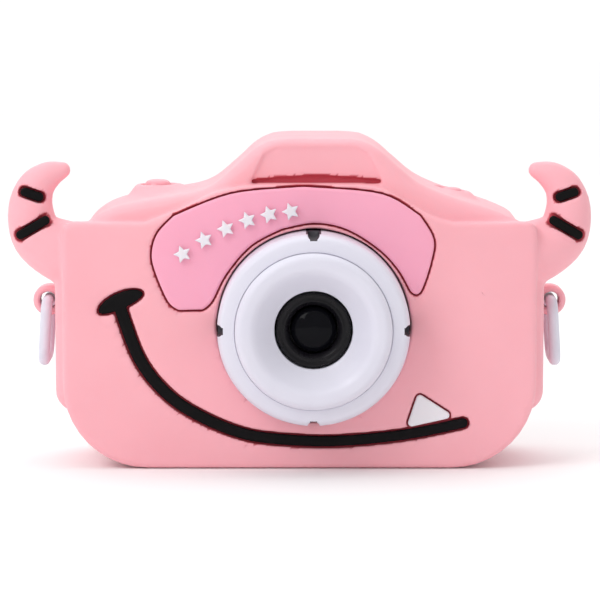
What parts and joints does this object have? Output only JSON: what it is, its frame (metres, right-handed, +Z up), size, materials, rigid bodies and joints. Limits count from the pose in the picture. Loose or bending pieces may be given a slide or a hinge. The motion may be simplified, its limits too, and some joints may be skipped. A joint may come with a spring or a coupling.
{
  "type": "children's digital camera",
  "caption": "Small digital camera in a soft silicone cover with curled horns, a smiling face, a protruding lens, a rear screen with keys and side strap rings.",
  "frame": {"origin": "middle of the flat base, on the plane it stands on, half-way through the depth of the cover", "axes": "+X to the right as seen by somebody facing the lens, lens looks along -Y, +Z up"},
  "size_m": [0.1088, 0.0412, 0.0613],
  "materials": {
    "silicone_pink": "matte moulded silicone",
    "silicone_rose": "matte moulded silicone",
    "silicone_black": "matte filled silicone",
    "silicone_white": "matte raised silicone",
    "shell_pink": "satin moulded ABS",
    "white_plastic": "satin moulded ABS, cool white",
    "black_plastic": "fine texture",
    "clear_glass": "coated lens glass",
    "screen_glass": "smoked cover glass",
    "lcd": "dark display, switched off",
    "circuit_board": "solder mask",
    "steel": "plated sheet",
    "battery_foil": "laminated foil pouch",
    "card_plastic": "moulded black"
  },
  "bodies": {
    "camera": {"back_camera_module": "black_plastic", "back_lens_glass": "clear_glass", "battery": "battery_foil", "card_socket": "steel", "case_screw_1": "steel", "case_screw_2": "steel", "case_screw_3": "steel", "case_screw_4": "steel", "eyelid_panel": "silicone_rose", "eyelid_star_1": "silicone_white", "eyelid_star_2": "silicone_white", "eyelid_star_3": "silicone_white", "eyelid_star_4": "silicone_white", "eyelid_star_5": "silicone_white", "eyelid_star_6": "silicone_white", "front_shell": "shell_pink", "horn_stripe_left_lower": "silicone_black", "horn_stripe_left_upper": "silicone_black", "horn_stripe_right_lower": "silicone_black", "horn_stripe_right_upper": "silicone_black", "image_sensor": "black_plastic", "key_down_switch": "black_plastic", "key_left_switch": "black_plastic", "key_ok_switch": "black_plastic", "key_right_switch": "black_plastic", "key_up_switch": "black_plastic", "lcd_panel": "lcd", "lens_barrel": "white_plastic", "lens_cell": "black_plastic", "lens_dish": "white_plastic", "lens_glass": "clear_glass", "lens_hood": "black_plastic", "main_board": "circuit_board", "microphone": "steel", "power_switch": "black_plastic", "rear_lens_element": "clear_glass", "rear_shell": "shell_pink", "screen_glass": "screen_glass", "sensor_board": "circuit_board", "shutter_switch": "black_plastic", "silicone_cover": "silicone_pink", "smile_inlay": "silicone_black", "speaker": "black_plastic", "tooth_inlay": "silicone_white", "usb_socket": "steel"},
    "shutter": {"shutter_button": "shell_pink"},
    "power": {"power_button": "shell_pink"},
    "memory_card": {"memory_card": "card_plastic"},
    "strap_ring_left": {"strap_ring_left": "white_plastic"},
    "strap_ring_right": {"strap_ring_right": "white_plastic"},
    "key_up": {"key_up": "white_plastic"},
    "key_down": {"key_down": "white_plastic"},
    "key_left": {"key_left": "white_plastic"},
    "key_right": {"key_right": "white_plastic"},
    "key_ok": {"key_ok": "white_plastic"}
  },
  "joints": [
    {"name": "shutter_press", "type": "slide", "parent": "camera", "child": "shutter", "axis": [0, 0, -1], "range_m": [0, 0.0008], "stiffness_N_per_m": 400, "springref_m": -0.0005},
    {"name": "power_press", "type": "slide", "parent": "camera", "child": "power", "axis": [0, 0, -1], "range_m": [0, 0.0008], "stiffness_N_per_m": 400, "springref_m": -0.0005},
    {"name": "key_up_press", "type": "slide", "parent": "camera", "child": "key_up", "axis": [0, -1, 0], "range_m": [0, 0.0008], "stiffness_N_per_m": 400, "springref_m": -0.0005},
    {"name": "key_down_press", "type": "slide", "parent": "camera", "child": "key_down", "axis": [0, -1, 0], "range_m": [0, 0.0008], "stiffness_N_per_m": 400, "springref_m": -0.0005},
    {"name": "key_left_press", "type": "slide", "parent": "camera", "child": "key_left", "axis": [0, -1, 0], "range_m": [0, 0.0008], "stiffness_N_per_m": 400, "springref_m": -0.0005},
    {"name": "key_right_press", "type": "slide", "parent": "camera", "child": "key_right", "axis": [0, -1, 0], "range_m": [0, 0.0008], "stiffness_N_per_m": 400, "springref_m": -0.0005},
    {"name": "key_ok_press", "type": "slide", "parent": "camera", "child": "key_ok", "axis": [0, -1, 0], "range_m": [0, 0.0008], "stiffness_N_per_m": 400, "springref_m": -0.0005},
    {"name": "card_eject", "type": "slide", "parent": "camera", "child": "memory_card", "axis": [0, 0, -1], "range_m": [0, 0.0032]},
    {"name": "strap_ring_left_swing", "type": "hinge", "parent": "camera", "child": "strap_ring_left", "pos_m": [-0.0475, 0, 0.0301], "axis": [0, 1, 0], "range_deg": [-6, 100]},
    {"name": "strap_ring_right_swing", "type": "hinge", "parent": "camera", "child": "strap_ring_right", "pos_m": [0.0475, 0, 0.0301], "axis": [0, -1, 0], "range_deg": [-6, 100]}
  ]
}
